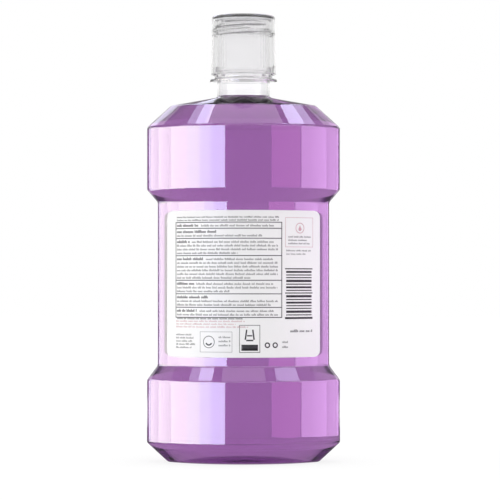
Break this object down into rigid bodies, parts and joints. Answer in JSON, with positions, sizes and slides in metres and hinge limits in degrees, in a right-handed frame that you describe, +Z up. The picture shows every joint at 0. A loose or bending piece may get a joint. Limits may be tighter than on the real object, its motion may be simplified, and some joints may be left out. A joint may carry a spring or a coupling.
{
  "type": "mouthwash bottle",
  "caption": "Clear oval mouthwash bottle with a drawn-in labelled waist, a tall round neck and a clear screw-on dosing cap, filled with purple liquid.",
  "frame": {"origin": "middle of the foot, on the surface that the bottle stands on", "axes": "+Z up along the neck, the back label faces -Y, and the bottle's width runs along X"},
  "size_m": [0.111, 0.0746, 0.2561],
  "materials": {
    "clear_bottle": "gloss",
    "purple_liquid": "gloss",
    "label_film": "satin",
    "clear_cap": "gloss",
    "liner_foam": "matte"
  },
  "bodies": {
    "container": {"bottle": "clear_bottle", "mouthwash": "purple_liquid", "back_label": "label_film", "front_label": "label_film"},
    "seal": {"cap_liner": "liner_foam"},
    "closure": {"dosing_cap": "clear_cap"}
  },
  "joints": [
    {"name": "cap_rise", "type": "slide", "parent": "container", "child": "seal", "axis": [0, 0, 1], "range_m": [0, 0.0508]},
    {"name": "cap_turn", "type": "hinge", "parent": "seal", "child": "closure", "pos_m": [0, 0, 0.2533], "axis": [0, 0, 1], "range_deg": [0, 4320]}
  ],
  "couplings": [
    {"joint": "cap_rise", "follows": "cap_turn", "m_per_rad": 0.0006737}
  ]
}
